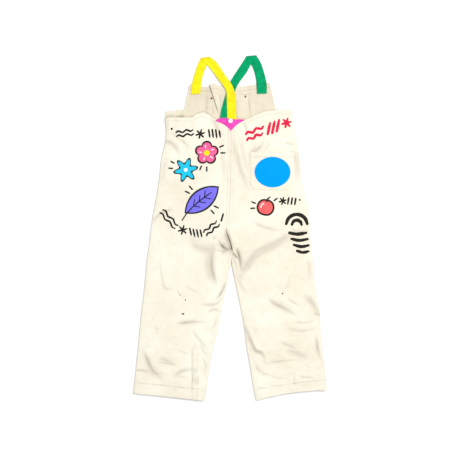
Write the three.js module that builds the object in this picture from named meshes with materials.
// Cream canvas bib overalls laid out flat on a surface, back side up.
// Millimetres. +X to the right, +Y towards the shoulder straps, +Z up from the surface.
// The two back panels lie over the two front panels, the bib sticks out above the back's top edge with
// its inner face up, and the two webbing straps fold over at the shoulders and cross on the bib.
import * as THREE from 'three';

// Driving dimensions
const CANVAS = 2.0; // wall of the canvas panels
const POCKET_WALL = 1.4;
const PATCH_WALL = 1.4;
const WEBBING = 1.8; // wall of the strap webbing
const SEAM_GAP = 0.3; // between two pieces that are sewn to each other
const FACET_ROOM = 0.3; // more under a piece whose facets don't follow those of the panel below
const FRONT_TOP = CANVAS; // the front panels lie flat on the surface
const BACK_LOWEST = FRONT_TOP + SEAM_GAP + CANVAS; // lowest that a back panel's upper face comes
const BACK_LEVEL = 8.2; // upper face of a back panel where it is smooth
const EDGE_ROLL = 22; // the cloth rolls down to its side seam over this width
const HEM_WIDTH = 44; // the turned-up hem lies higher than the leg by its rise
const HEM_RISE = 1.0;
const HEM_SLOPE = 12; // it rises over this width
const CROTCH = { from: -104, to: -160 }; // the inner edge turns from the centre seam into the inseam
const FOLD_STEPS = 10; // straight pieces for each span of a fold's path
const FOLD_TAPER = { start: 0.35, end: 0.45 }; // shares of a fold's length over which it fades
const ROW_SPACING = 19.5;
const SIDE_COLUMNS = [0, 3, 9, 20]; // distances of a panel's points from its side seam
const INNER_COLUMNS = [14, 5, 0]; // and from its centre seam or inseam
const MIDDLE_COLUMNS = 14; // equal steps between them
const FRONT_INSET = 1.5; // a front panel stays this far inside the back panel's outline
const FRONT_HEM_INSET = 3;
const FRONT_COLUMNS = [0, 0.28, 0.5, 0.75, 1]; // shares of the width, from the side seam inwards

const CANVAS_CREAM = 0xfdf8e3;
const BIB_INSIDE = 0xf3edd6;
const STRAP_YELLOW = 0xf6e815;
const STRAP_GREEN = 0x0f9a5c;
const PATCH_PINK = 0xf04cb2;
const BUTTON_WHITE = 0xf4f1ea;
const STUD_RED = 0x7a2b2b;

// Outline of the left half: side seam, then centre seam or inseam, from the top edge down to the hem
// [sideX, sideY, innerX, innerY]
const LEFT_SECTIONS = [
  [-261, 440, 5, 434],
  [-255, 388, 5, 388],
  [-260, 336, 5, 330],
  [-273, 280, 4, 264],
  [-282, 200, 3, 184],
  [-290, 144, 1, 120],
  [-305, 64, -1, 48],
  [-315, 0, -12, -4],
  [-319, -34, -6, -36],
  [-322, -60, 6, -68],
  [-325, -86, 13, -96],
  [-331, -122, 6, -136],
  [-335, -168, -2, -172],
  [-341, -230, -13, -232],
  [-347, -288, -26, -288],
  [-355, -352, -39, -356],
  [-361, -416, -51, -420],
  [-367, -480, -65, -478],
  [-373, -536, -78, -536],
  [-378, -586, -86, -592],
  [-383, -630, -94, -646],
  [-387, -662, -102, -692],
];

// Outline of the right half, in the same order
const RIGHT_SECTIONS = [
  [245, 470, 5, 434],
  [255, 412, 5, 388],
  [269, 344, 5, 330],
  [279, 266, 4, 264],
  [287, 192, 3, 184],
  [304, 120, 1, 120],
  [314, 48, -1, 48],
  [319, -4, -12, -4],
  [321, -40, -6, -36],
  [325, -72, 6, -68],
  [328, -104, 13, -96],
  [334, -144, 8, -136],
  [336, -176, 12, -172],
  [341, -232, 24, -228],
  [350, -286, 37, -288],
  [360, -348, 50, -352],
  [363, -412, 60, -416],
  [368, -476, 67, -474],
  [375, -532, 77, -532],
  [381, -584, 86, -588],
  [385, -624, 95, -640],
  [387, -650, 105, -690],
];

// How far the top edge or hem stands above or below the straight line between its ends: [x, rise]
const LEFT_TOP_BOW = [
  [-261, 0], [-219, 4], [-152, 4], [-131, 19], [-107, 26], [-87, 19], [-63, 4], [-50, -3], [5, 0],
];
const RIGHT_TOP_BOW = [[5, 0], [57, -10], [81, -4], [105, 5], [150, 12], [185, 11], [245, 0]];
const LEFT_HEM_BOW = [[-387, 0], [-240, 1], [-102, 0]];
const RIGHT_HEM_BOW = [[105, 0], [160, 6], [222, 10], [282, 9], [340, 6], [387, 0]];
const TOP_BOW_REACH = 70; // the bow of the top edge fades out over this depth
const HEM_BOW_REACH = 60;

// Broad swells and hollows of the back: [name, x, y, height, reach in x, reach in y]
const SWELLS = [
  ['shoulder left', -190, 442, 3.5, 75, 40],
  ['shoulder bump', -108, 446, 2.5, 34, 40],
  ['shoulder right', 190, 450, 2.5, 70, 45],
  ['under the yoke', 2, 428, -2.2, 78, 62],
  ['waist left', -120, 330, -1.5, 80, 45],
  ['seat left', -140, 150, 4.5, 90, 110],
  ['seat right', 165, 110, 4.0, 85, 110],
  ['hip left', -265, 170, -2.2, 40, 110],
  ['thigh left', -215, -120, 3.5, 70, 85],
  ['thigh right', 215, -150, 3.5, 75, 80],
  ['under the seat left', -110, -78, -2.5, 70, 30],
  ['knee left', -250, -290, 2.5, 60, 75],
  ['knee right', 150, -380, 3.0, 55, 70],
  ['shin left', -290, -430, 2.5, 50, 70],
  ['shin right', 280, -420, 3.5, 60, 60],
  ['ankle left', -170, -640, 2.0, 60, 50],
  ['ankle right', 260, -610, 3.0, 80, 55],
];

// Main folds: a ridge where the height is over zero and a trough where it is under.
// left and right are the widths to either side of the path, looking along it.
// start and end are the share of the height that is left at the ends of the path.
const FOLD_COLUMNS = ['name', 'panel', 'height', 'left', 'right', 'start', 'end', 'path'];
const FOLDS = [
  ['side notch', 'left', -5, 14, 15, 0.9, 0, [[-264, 344], [-240, 342], [-215, 318], [-195, 276]]],
  ['hip crease', 'left', -4, 13, 14, 0.7, 0, [[-304, 34], [-275, 60], [-245, 70], [-215, 71]]],
  ['hip ridge', 'left', 2.5, 14, 15, 0.3, 0, [[-302, 66], [-270, 90], [-230, 100]]],
  ['patch side', 'left', -3, 13, 13, 0.5, 0, [[-75, 446], [-62, 420], [-42, 388], [-16, 360]]],
  ['thigh roll', 'left', 3, 14, 15, 0.2, 0, [[-24, 24], [-52, -12], [-88, -36], [-128, -48]]],
  ['thigh fold', 'left', -7.5, 13, 24, 0.3, 0,
    [[-67, -88], [-75, -130], [-73, -165], [-62, -205], [-53, -242]]],
  ['thigh crest', 'left', 5, 14, 14, 0.3, 0.1, [[-46, -96], [-54, -136], [-52, -176], [-42, -216]]],
  ['crotch hollow', 'left', -5, 14, 15, 0.2, 0.8, [[-32, -60], [-15, -80], [-2, -88]]],
  ['seam slit', 'left', -5, 13, 15, 0.2, 0.3, [[-17, 0], [-13, -34], [-3, -62], [9, -92]]],
  ['seam lip', 'right', 6.5, 16, 14, 0.1, 0.2, [[-5, 8], [3, -24], [14, -56], [26, -90]]],
  ['crotch pleat', 'right', -6, 13, 13, 0.4, 0.1, [[30, -84], [38, -108], [43, -140], [42, -178]]],
  ['thigh sweep', 'right', -7, 15, 16, 0.5, 0,
    [[42, -188], [62, -156], [105, -102], [169, -70], [237, -28], [270, -12]]],
  ['thigh brow', 'right', 3.5, 18, 18, 0.1, 0, [[53, -136], [82, -92], [121, -60], [169, -38], [215, -14]]],
  ['thigh foot', 'right', 3, 18, 18, 0.2, 0, [[70, -190], [110, -146], [160, -114], [217, -88]]],
  ['seat curve', 'right', -3.5, 14, 15, 0.2, 0,
    [[10, 366], [21, 312], [35, 256], [50, 208], [70, 164], [98, 132]]],
  ['seat crest', 'right', 2.5, 14, 14, 0.1, 0, [[30, 350], [42, 296], [56, 240], [74, 192]]],
  ['seat fold', 'right', -3.5, 13, 14, 0.2, 0, [[137, 356], [125, 328], [101, 308], [82, 292], [76, 258]]],
  ['thigh crease', 'right', -2.5, 13, 14, 0, 0, [[82, 30], [110, 14], [145, 0], [190, -8], [232, -8]]],
  ['knee side', 'left', -3, 13, 13, 0.1, 0.4, [[-122, -304], [-86, -308], [-55, -304], [-31, -282]]],
  ['knee crease', 'left', -4.5, 13, 14, 0.1, 0.1, [[-223, -384], [-183, -380], [-139, -376], [-90, -380]]],
  ['knee crest', 'left', 2.5, 15, 14, 0, 0, [[-215, -362], [-159, -358], [-103, -361]]],
  ['shin line', 'left', -2.5, 13, 13, 0.1, 0.2, [[-147, -404], [-135, -432], [-111, -460], [-83, -496]]],
  ['shin swale', 'left', -3, 15, 15, 0, 0, [[-291, -516], [-255, -532], [-211, -550]]],
  ['hem vee side', 'left', -6, 13, 16, 0.2, 0.1,
    [[-351, -488], [-335, -516], [-323, -544], [-309, -572], [-287, -592], [-270, -612]]],
  ['hem vee inner', 'left', -4, 13, 13, 0, 0.2, [[-236, -598], [-203, -580], [-179, -570], [-147, -566]]],
  ['hem vee crest', 'left', 3, 15, 15, 0, 0,
    [[-311, -528], [-291, -556], [-259, -578], [-227, -572], [-195, -556]]],
  ['knee slant', 'right', -5, 13, 14, 0.1, 0.1,
    [[149, -276], [173, -300], [205, -316], [241, -336], [289, -358]]],
  ['knee crest', 'right', 2.6, 14, 14, 0, 0, [[173, -268], [205, -288], [245, -310], [293, -332]]],
  ['knee flank', 'right', -4.5, 14, 14, 0.1, 0.6, [[293, -272], [321, -292], [341, -320], [356, -348]]],
  ['shin roll', 'right', 4, 15, 15, 0.1, 0,
    [[79, -416], [93, -452], [107, -482], [129, -494], [146, -520]]],
  ['shin fold', 'right', -7, 13, 13, 0.5, 0.1,
    [[59, -400], [75, -436], [89, -468], [103, -492], [123, -500], [135, -516], [141, -544]]],
  ['shin flank', 'right', -4.5, 13, 13, 0.1, 0.3, [[345, -424], [349, -460], [353, -492], [365, -528]]],
  ['shin swale', 'right', -3.5, 15, 15, 0, 0.1, [[217, -492], [253, -500], [290, -512], [330, -524]]],
].map((row) => Object.fromEntries(row.map((value, column) => [FOLD_COLUMNS[column], value])));

// Bib: its top edge [x, y], bottom edge and the lap where one part of it lies folded over the other
const BIB_TOP_EDGE = [
  [-163, 572], [-84, 564], [-81, 574], [-66, 576], [-43, 570], [-15, 560], [25, 564],
  [105, 572], [160, 580],
];
const BIB_BOTTOM = { left: -193, right: 193, y: 432 };
const FRONT_TOP_EDGE = BIB_BOTTOM.y - SEAM_GAP - 0.2; // the bib is sewn to the front panels along this line
const LEFT_WAIST_CORNER = [[-253, 466], [-187, 471], [-194, FRONT_TOP_EDGE]];
const RIGHT_WAIST_CORNER = [[240, 462], [195, 462], [194, FRONT_TOP_EDGE]];
const BIB_LAP = { topX: -84, bottomX: -38, step: 3, rise: 4, fade: 26, flatBelow: 448, flatOver: 40 };
const BIB_COLUMNS = [0, 0.16, 0.33, 0.5, 0.67, 0.84, 1]; // across the part to the left of the lap
const BIB_LAP_COLUMNS = [0, 0.03, 0.07, 0.12, 0.18, 0.25, 0.33, 0.42, 0.52, 0.62, 0.72, 0.82, 0.91, 1];
const BIB_HEM_ROWS = [0, 0.06, 0.12, 0.16]; // shares of the bib's height, from its top edge down
const BIB_ROWS = 9; // below its hem
const BIB_HEM = { width: 16, rise: 0.8, slope: 4 };

// Straps: rows of [right edge x, y, left edge x, y, height of the lower face] from the end on the bib
// up to the fold at the shoulder, then from that fold down to the end under the yoke patch
const FOLD_ROOM = 0.5; // between the two layers at a shoulder fold
const YELLOW_UP = [
  [-118, 537, -155, 534, 3.4],
  [-115, 571, -152, 569, 3.4],
  [-111, 597, -146, 600, 1.2],
  [-103, 624, -137, 630, 0],
  [-93, 651, -127, 658, 0],
  [-80, 684, -116, 679, 0],
];
const YELLOW_DOWN = [
  [-80, 684, -116, 679, 2.3],
  [-56, 666, -92, 653, 2.3],
  [-39, 643, -70, 628, 3.2],
  [-16, 607, -46, 595, 6.2],
  [6, 577, -27, 571, 7.0],
  [18, 549, -14, 547, 7.2],
  [24, 518, -12, 518, 7.0],
  [25, 484, -11, 484, 7.2],
  [26, 456, -10, 456, 8.6],
  [27, 440, -10, 440, 9.2],
  [28, 424, -10, 424, 9.2],
];
const GREEN_UP = [
  [148, 538, 110, 537, 3.4],
  [148, 573, 107, 571, 3.4],
  [143, 601, 105, 597, 1.2],
  [134, 634, 97, 628, 0],
  [123, 664, 85, 656, 0],
  [107, 690, 66, 686, 0],
];
const GREEN_DOWN = [
  [107, 690, 66, 686, 2.3],
  [86, 656, 51, 662, 2.3],
  [65, 619, 31, 632, 1.4],
  [42, 588, 9, 597, 2.6],
  [24, 556, -6, 564, 4.4],
  [15, 522, -17, 532, 4.8],
  [8, 494, -26, 502, 5.0],
  [4, 472, -33, 474, 5.6],
  [1, 450, -37, 450, 6.6],
  [-1, 425, -38, 425, 7.0],
];
const STRAP_COLUMNS = [0, 0.5, 1];
const STRAP_ROW_SPACING = 14;
const SHOULDER_FOLD_ANGLES = [36, 72, 108, 144]; // degrees round the fold between the two layers

// Yoke patch over the strap ends: [x, lower edge y, upper edge y]
const PATCH_SECTIONS = [
  [-57, 427, 430],
  [-46, 424, 436],
  [-30, 418, 440],
  [-14, 408, 439],
  [0, 393, 437],
  [5, 388, 436],
  [10, 393, 435],
  [24, 409, 434],
  [40, 421, 434],
  [58, 430, 433.5],
];
const PATCH_ROWS = [0, 0.2, 0.4, 0.6, 0.8, 1];
const STRAP_STACK = { height: 5.0, left: -42, right: 36, slope: 18 }; // two straps under the patch

// Back pocket, sewn on the right seat
const POCKET = { left: 82, right: 257, top: 304, bottom: 152, corner: 30, columns: 12, rows: 10 };

const BUTTON = { x: 3, y: 428, radius: 8.8, rim: 3.2, dish: 1.4, hole: 3.0 };
const STUD = { radius: 4.6, height: 2.2 };
const STUDS = [['bib_stud_left', -73.5, 519], ['bib_stud_right', 63, 526]];

// Curves and heights

function smoothStep(t) {
  const clamped = Math.min(1, Math.max(0, t));
  return clamped * clamped * (3 - 2 * clamped);
}

// The shares 0 to 1 in equal steps.
function evenShares(steps) {
  return Array.from({ length: steps + 1 }, (_, i) => i / steps);
}

// A quarter round: steep at 0 and level at 1.
function roundOver(t) {
  const left = 1 - Math.min(1, Math.max(0, t));
  return Math.sqrt(1 - left * left);
}

// A smooth curve through [x, value] points, read at x.
function readCurve(points, x) {
  const last = points.length - 1;
  if (x <= points[0][0]) return points[0][1];
  if (x >= points[last][0]) return points[last][1];
  const span = points.findIndex((point) => point[0] > x) - 1;
  const [x0, y0] = points[span];
  const [x1, y1] = points[span + 1];
  return THREE.MathUtils.lerp(y0, y1, smoothStep((x - x0) / (x1 - x0)));
}

// Points of a fold's path, each with how far along the path it is, from 0 to 1.
function samplePath(path) {
  const curve = new THREE.SplineCurve(path.map(([x, y]) => new THREE.Vector2(x, y)));
  const count = (path.length - 1) * FOLD_STEPS;
  return evenShares(count).map((along) => ({ point: curve.getPoint(along), along }));
}

const FOLD_PATHS = FOLDS.map((fold) => ({ ...fold, samples: samplePath(fold.path) }));

// Share of a fold's height at a place along its path.
function foldStrength(fold, along) {
  const rise = fold.start + (1 - fold.start) * smoothStep(along / FOLD_TAPER.start);
  const fall = fold.end + (1 - fold.end) * smoothStep((1 - along) / FOLD_TAPER.end);
  return rise * fall;
}

function foldHeight(fold, x, y) {
  let nearest = Infinity;
  let height = 0;
  for (let i = 1; i < fold.samples.length; i += 1) {
    const from = fold.samples[i - 1];
    const to = fold.samples[i];
    const dx = to.point.x - from.point.x;
    const dy = to.point.y - from.point.y;
    const px = x - from.point.x;
    const py = y - from.point.y;
    const t = Math.min(1, Math.max(0, (px * dx + py * dy) / (dx * dx + dy * dy)));
    const distance = Math.hypot(px - t * dx, py - t * dy);
    if (distance < nearest) {
      nearest = distance;
      const width = dx * py - dy * px > 0 ? fold.left : fold.right;
      const along = from.along + t * (to.along - from.along);
      height = fold.height * foldStrength(fold, along) * Math.exp(-((distance / width) ** 2));
    }
  }
  return height;
}

function swellHeight(x, y) {
  return SWELLS.reduce((sum, [, cx, cy, height, reachX, reachY]) =>
    sum + height * Math.exp(-(((x - cx) / reachX) ** 2) - ((y - cy) / reachY) ** 2), 0);
}

// Keeps a height above the lowest level, easing into it.
function keepAbove(height, lowest) {
  const EASE = 1.2;
  const over = height - lowest;
  return lowest + (over + Math.sqrt(over * over + EASE * EASE)) / 2;
}

// Upper face of the back at a place, before its edges roll down.
function backHeight(panel, x, y) {
  const folds = FOLD_PATHS
    .filter((fold) => fold.panel === panel)
    .reduce((sum, fold) => sum + foldHeight(fold, x, y), 0);
  return keepAbove(BACK_LEVEL + swellHeight(x, y) + folds, BACK_LOWEST);
}

// Solids

function solidFromFaces(positions, index) {
  const geometry = new THREE.BufferGeometry();
  geometry.setAttribute('position', new THREE.Float32BufferAttribute(positions, 3));
  geometry.setIndex(index);
  geometry.computeVertexNormals();
  return geometry;
}

// A closed wall between an outer and an inner grid of [x, y, z] points. The outer face looks along
// the cross product of the row direction and the column direction.
function wallGeometry(outer, inner) {
  const rows = outer.length;
  const columns = outer[0].length;
  const positions = [...outer.flat(2), ...inner.flat(2)];
  const at = (row, column) => row * columns + column;
  const under = (row, column) => rows * columns + at(row, column);
  const index = [];
  const quad = (a, b, c, d) => index.push(a, b, c, a, c, d);
  for (let row = 0; row < rows - 1; row += 1) {
    for (let column = 0; column < columns - 1; column += 1) {
      quad(at(row, column), at(row + 1, column), at(row + 1, column + 1), at(row, column + 1));
      quad(under(row, column), under(row, column + 1), under(row + 1, column + 1), under(row + 1, column));
    }
    const end = columns - 1;
    quad(at(row, 0), under(row, 0), under(row + 1, 0), at(row + 1, 0));
    quad(at(row, end), at(row + 1, end), under(row + 1, end), under(row, end));
  }
  for (let column = 0; column < columns - 1; column += 1) {
    const end = rows - 1;
    quad(at(0, column), at(0, column + 1), under(0, column + 1), under(0, column));
    quad(at(end, column), under(end, column), under(end, column + 1), at(end, column + 1));
  }
  return solidFromFaces(positions, index);
}

// A wall whose inner face lies straight below its outer face.
function layeredWall(outer, thickness) {
  return wallGeometry(outer, outer.map((row) => row.map(([x, y, z]) => [x, y, z - thickness])));
}

// Height of a grid's upper face at a place, as its triangles have it, or null beside the grid.
function facetHeight(grid, x, y) {
  const place = new THREE.Vector3(x, y, 0);
  const level = (point) => new THREE.Vector3(point[0], point[1], 0);
  const share = new THREE.Vector3();
  for (let row = 0; row < grid.length - 1; row += 1) {
    for (let column = 0; column < grid[row].length - 1; column += 1) {
      const [from, to] = [column, column + 1];
      const corners = [grid[row][from], grid[row + 1][from], grid[row + 1][to], grid[row][to]];
      for (const [a, b, c] of [[0, 1, 2], [0, 2, 3]]) {
        const triangle = new THREE.Triangle(level(corners[a]), level(corners[b]), level(corners[c]));
        if (triangle.containsPoint(place)) {
          triangle.getBarycoord(place, share);
          return share.x * corners[a][2] + share.y * corners[b][2] + share.z * corners[c][2];
        }
      }
    }
  }
  return null;
}

function namedMesh(name, geometry, color, roughness = 0.92) {
  const mesh = new THREE.Mesh(geometry, new THREE.MeshStandardMaterial({ color, roughness, metalness: 0 }));
  mesh.name = name;
  return mesh;
}

// Back panels

// Rows between two sections of an outline, as smooth curves through the side and the inner points.
function outlineRows(sections, spacing) {
  const side = new THREE.SplineCurve(sections.map(([x, y]) => new THREE.Vector2(x, y)));
  const inner = new THREE.SplineCurve(sections.map(([, , x, y]) => new THREE.Vector2(x, y)));
  const spans = sections.length - 1;
  const rows = [];
  for (let span = 0; span < spans; span += 1) {
    const steps = Math.max(1, Math.round((sections[span][1] - sections[span + 1][1]) / spacing));
    for (let step = 0; step < steps; step += 1) {
      rows.push((span + step / steps) / spans);
    }
  }
  rows.push(1);
  return rows.map((t) => ({ side: side.getPoint(t), inner: inner.getPoint(t) }));
}

// Distances from the side seam of the points across a row, close together at both edges.
function columnPlaces(width) {
  const nearInner = INNER_COLUMNS.map((distance) => width - distance);
  const first = SIDE_COLUMNS[SIDE_COLUMNS.length - 1];
  const middleShares = evenShares(MIDDLE_COLUMNS).slice(1, -1);
  const between = middleShares.map((share) => first + (nearInner[0] - first) * share);
  return [...SIDE_COLUMNS, ...between, ...nearInner];
}

function backGrid(panel, sections, topBow, hemBow) {
  const shift = panel === 'left' ? -SEAM_GAP / 2 : SEAM_GAP / 2;
  const rows = outlineRows(sections, ROW_SPACING);
  const hemLine = rows[rows.length - 1];
  const topLine = rows[0];
  return rows.map(({ side, inner }) => {
    const width = side.distanceTo(inner);
    const points = columnPlaces(width).map((fromSide) => {
      const share = fromSide / width;
      const x = THREE.MathUtils.lerp(side.x, inner.x + shift, share);
      const straightY = THREE.MathUtils.lerp(side.y, inner.y, share);
      const fromTop = THREE.MathUtils.lerp(topLine.side.y, topLine.inner.y, share) - straightY;
      const fromHem = straightY - THREE.MathUtils.lerp(hemLine.side.y, hemLine.inner.y, share);
      const y = straightY
        + readCurve(topBow, x) * smoothStep(1 - fromTop / TOP_BOW_REACH)
        + readCurve(hemBow, x) * smoothStep(1 - fromHem / HEM_BOW_REACH);
      const inseam = smoothStep((CROTCH.from - inner.y) / (CROTCH.from - CROTCH.to));
      const sideRoll = roundOver(fromSide / EDGE_ROLL);
      const innerRoll = THREE.MathUtils.lerp(1, roundOver((width - fromSide) / EDGE_ROLL), inseam);
      const hem = HEM_RISE * smoothStep((HEM_WIDTH + HEM_SLOPE / 2 - fromHem) / HEM_SLOPE);
      const over = backHeight(panel, x, y) + hem - BACK_LOWEST;
      return [x, y, BACK_LOWEST + over * sideRoll * innerRoll];
    });
    return panel === 'left' ? points : points.reverse();
  });
}

const BACK_LEFT = backGrid('left', LEFT_SECTIONS, LEFT_TOP_BOW, LEFT_HEM_BOW);
const BACK_RIGHT = backGrid('right', RIGHT_SECTIONS, RIGHT_TOP_BOW, RIGHT_HEM_BOW);

// Upper face of the back at a place on the finished panels.
function backSurface(x, y) {
  return facetHeight(BACK_LEFT, x, y) ?? facetHeight(BACK_RIGHT, x, y) ?? BACK_LEVEL;
}

// Front panels: flat on the surface, just inside the back's outline. The first row of each ends in the
// waist corner that stands out above the back's top edge, beside the bib.

function frontPanel(panel, sections, hemBow, waistCorner) {
  const toInside = panel === 'left' ? 1 : -1;
  const last = sections.length - 1;
  const grid = sections.map(([sideX, sideY, innerX, innerY], row) => {
    const inseam = smoothStep((CROTCH.from - innerY) / (CROTCH.from - CROTCH.to));
    const fromX = sideX + toInside * FRONT_INSET;
    const toX = innerX - toInside * (SEAM_GAP / 2 + inseam * FRONT_INSET);
    const points = FRONT_COLUMNS.map((share, column) => {
      if (row === 0 && column < waistCorner.length) return [...waistCorner[column], FRONT_TOP];
      const x = THREE.MathUtils.lerp(fromX, toX, share);
      const y = THREE.MathUtils.lerp(sideY, innerY, share);
      if (row === 0) return [x, FRONT_TOP_EDGE, FRONT_TOP];
      if (row === last) return [x, y + readCurve(hemBow, x) + FRONT_HEM_INSET, FRONT_TOP];
      return [x, y, FRONT_TOP];
    });
    return panel === 'left' ? points : points.reverse();
  });
  return layeredWall(grid, CANVAS);
}

// Bib

function bibHeight(x, y, topEdge) {
  const share = (topEdge - y) / (topEdge - BIB_BOTTOM.y);
  const crest = THREE.MathUtils.lerp(BIB_LAP.topX + BIB_LAP.step, BIB_LAP.bottomX + BIB_LAP.step, share);
  const pastLap = x - crest;
  const low = smoothStep((y - BIB_LAP.flatBelow) / BIB_LAP.flatOver);
  const lap = pastLap < -0.5 ? 0 : low * BIB_LAP.rise * Math.exp(-((pastLap / BIB_LAP.fade) ** 2));
  const hem = BIB_HEM.rise * smoothStep((BIB_HEM.width - (topEdge - y)) / BIB_HEM.slope);
  return CANVAS + lap + hem;
}

function bibPanel() {
  const topLeft = BIB_TOP_EDGE[0][0];
  const topRight = BIB_TOP_EDGE[BIB_TOP_EDGE.length - 1][0];
  const columns = [
    ...BIB_COLUMNS.map((share) => [
      THREE.MathUtils.lerp(topLeft, BIB_LAP.topX, share),
      THREE.MathUtils.lerp(BIB_BOTTOM.left, BIB_LAP.bottomX, share)]),
    ...BIB_LAP_COLUMNS.map((share) => [
      THREE.MathUtils.lerp(BIB_LAP.topX + BIB_LAP.step, topRight, share),
      THREE.MathUtils.lerp(BIB_LAP.bottomX + BIB_LAP.step, BIB_BOTTOM.right, share)]),
  ];
  const belowHem = 1 - BIB_HEM_ROWS[BIB_HEM_ROWS.length - 1];
  const lowerRows = evenShares(BIB_ROWS).slice(1).map((share) => 1 - belowHem * (1 - share));
  const rowShares = [...BIB_HEM_ROWS, ...lowerRows];
  const grid = rowShares.map((share) => columns.map(([topX, bottomX]) => {
    const topEdge = readCurve(BIB_TOP_EDGE, topX);
    const x = THREE.MathUtils.lerp(topX, bottomX, share);
    const y = THREE.MathUtils.lerp(topEdge, BIB_BOTTOM.y, share);
    return [x, y, bibHeight(x, y, topEdge)];
  }));
  return layeredWall(grid, CANVAS);
}

// Straps

function ribbonRows(table) {
  const right = new THREE.CatmullRomCurve3(table.map(([x, y, , , z]) => new THREE.Vector3(x, y, z)));
  const left = new THREE.CatmullRomCurve3(table.map(([, , x, y, z]) => new THREE.Vector3(x, y, z)));
  const count = Math.round(left.getLength() / STRAP_ROW_SPACING);
  return evenShares(count).map((share) => {
    const row = { right: right.getPoint(share), left: left.getPoint(share) };
    row.right.z = Math.max(0, row.right.z);
    row.left.z = Math.max(0, row.left.z);
    return row;
  });
}

function ribbonSection(right, left, lift, normal) {
  const across = STRAP_COLUMNS.map((share) => right.clone().lerp(left, share).add(lift));
  const half = normal.clone().multiplyScalar(WEBBING / 2);
  return {
    outer: across.map((point) => point.clone().add(half).toArray()),
    inner: across.map((point) => point.clone().sub(half).toArray()),
  };
}

// One strap: up from the bib, over at the shoulder and down on top of itself.
function strapSolid(up, down) {
  const level = new THREE.Vector3(0, 0, WEBBING / 2);
  const lying = (normal) => ({ right, left }) => ribbonSection(right, left, level, normal);
  const climb = ribbonRows(up).map(lying(new THREE.Vector3(0, 0, 1)));
  const descent = ribbonRows(down).map(lying(new THREE.Vector3(0, 0, -1)));
  const [rightX, rightY, leftX, leftY] = up[up.length - 1];
  const creaseRight = new THREE.Vector3(rightX, rightY, 0);
  const creaseLeft = new THREE.Vector3(leftX, leftY, 0);
  const away = new THREE.Vector3(leftY - rightY, rightX - leftX, 0).normalize();
  const radius = (WEBBING + FOLD_ROOM) / 2;
  const turn = SHOULDER_FOLD_ANGLES.map((degrees) => {
    const angle = THREE.MathUtils.degToRad(degrees);
    const lift = away.clone().multiplyScalar(radius * Math.sin(angle));
    lift.z = WEBBING / 2 + radius * (1 - Math.cos(angle));
    const normal = away.clone().multiplyScalar(-Math.sin(angle));
    normal.z = Math.cos(angle);
    return ribbonSection(creaseRight, creaseLeft, lift, normal);
  });
  const sections = [...climb, ...turn, ...descent];
  return wallGeometry(sections.map((section) => section.outer), sections.map((section) => section.inner));
}

// Yoke patch, pocket and hardware

function patchUnderside(x, y) {
  const { height, left, right, slope } = STRAP_STACK;
  const onStraps = smoothStep((x - left + slope) / slope) * smoothStep((right + slope - x) / slope);
  return backSurface(x, y) + SEAM_GAP + height * onStraps;
}

function yokePatch() {
  const grid = PATCH_ROWS.map((share) => PATCH_SECTIONS.map(([x, low, high]) => {
    const y = THREE.MathUtils.lerp(high, low, share);
    return [x, y, patchUnderside(x, y) + PATCH_WALL];
  }));
  return layeredWall(grid, PATCH_WALL);
}

// The pocket narrows to its rounded bottom corners.
function pocketInset(y) {
  const intoCorner = Math.max(0, POCKET.corner - (y - POCKET.bottom));
  return POCKET.corner - Math.sqrt(POCKET.corner ** 2 - intoCorner ** 2);
}

function backPocket() {
  // Rows lie closer together towards the rounded corners.
  const grid = evenShares(POCKET.rows).map((share) => {
    const y = THREE.MathUtils.lerp(POCKET.top, POCKET.bottom, Math.sin((share * Math.PI) / 2));
    const inset = Math.min(pocketInset(y), POCKET.corner * 0.8);
    return evenShares(POCKET.columns).map((across) => {
      const x = THREE.MathUtils.lerp(POCKET.left + inset, POCKET.right - inset, across);
      return [x, y, backSurface(x, y) + SEAM_GAP + FACET_ROOM + POCKET_WALL];
    });
  });
  return layeredWall(grid, POCKET_WALL);
}

function turned(profile, segments) {
  const points = profile.map(([radius, height]) => new THREE.Vector2(radius, height));
  return new THREE.LatheGeometry(points, segments).rotateX(Math.PI / 2);
}

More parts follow.
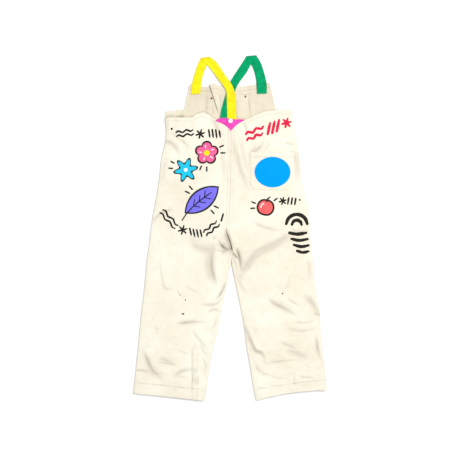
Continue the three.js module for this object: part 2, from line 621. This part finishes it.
function yokeButton() {
  const { x, y, radius, rim, dish, hole } = BUTTON;
  const geometry = turned([
    [0, 0], [radius - 1.2, 0], [radius, 1.0], [radius - 0.4, rim - 0.7], [radius - 1.8, rim],
    [hole + 1.4, rim - 0.2], [hole, dish + 0.4], [hole - 0.6, dish], [0, dish],
  ], 28);
  const under = [[0, 0], [radius, 0], [-radius, 0], [0, radius], [0, -radius]];
  const highest = Math.max(...under.map(([dx, dy]) => patchUnderside(x + dx, y + dy)));
  return geometry.translate(x, y, highest + PATCH_WALL + SEAM_GAP);
}

function bibStud(x, y) {
  const { radius, height } = STUD;
  const geometry = turned([
    [0, 0], [radius - 0.4, 0], [radius, 0.5],
    [radius - 0.5, height * 0.55], [radius * 0.55, height * 0.92], [0, height],
  ], 16);
  const topEdge = readCurve(BIB_TOP_EDGE, x);
  const highest = Math.max(...[-radius, 0, radius].map((offset) => bibHeight(x + offset, y, topEdge)));
  return geometry.translate(x, y, highest + SEAM_GAP);
}

const FRONT_LEFT = frontPanel('left', LEFT_SECTIONS, LEFT_HEM_BOW, LEFT_WAIST_CORNER);
const FRONT_RIGHT = frontPanel('right', RIGHT_SECTIONS, RIGHT_HEM_BOW, RIGHT_WAIST_CORNER);

const overalls = new THREE.Group();
overalls.add(
  namedMesh('front_left', FRONT_LEFT, CANVAS_CREAM),
  namedMesh('front_right', FRONT_RIGHT, CANVAS_CREAM),
  namedMesh('bib', bibPanel(), BIB_INSIDE),
  namedMesh('back_left', layeredWall(BACK_LEFT, CANVAS), CANVAS_CREAM),
  namedMesh('back_right', layeredWall(BACK_RIGHT, CANVAS), CANVAS_CREAM),
  namedMesh('back_pocket', backPocket(), CANVAS_CREAM),
  namedMesh('strap_green', strapSolid(GREEN_UP, GREEN_DOWN), STRAP_GREEN, 0.85),
  namedMesh('strap_yellow', strapSolid(YELLOW_UP, YELLOW_DOWN), STRAP_YELLOW, 0.85),
  namedMesh('yoke_patch', yokePatch(), PATCH_PINK, 0.9),
  namedMesh('yoke_button', yokeButton(), BUTTON_WHITE, 0.35),
  ...STUDS.map(([name, x, y]) => namedMesh(name, bibStud(x, y), STUD_RED, 0.4)),
);

export default overalls;
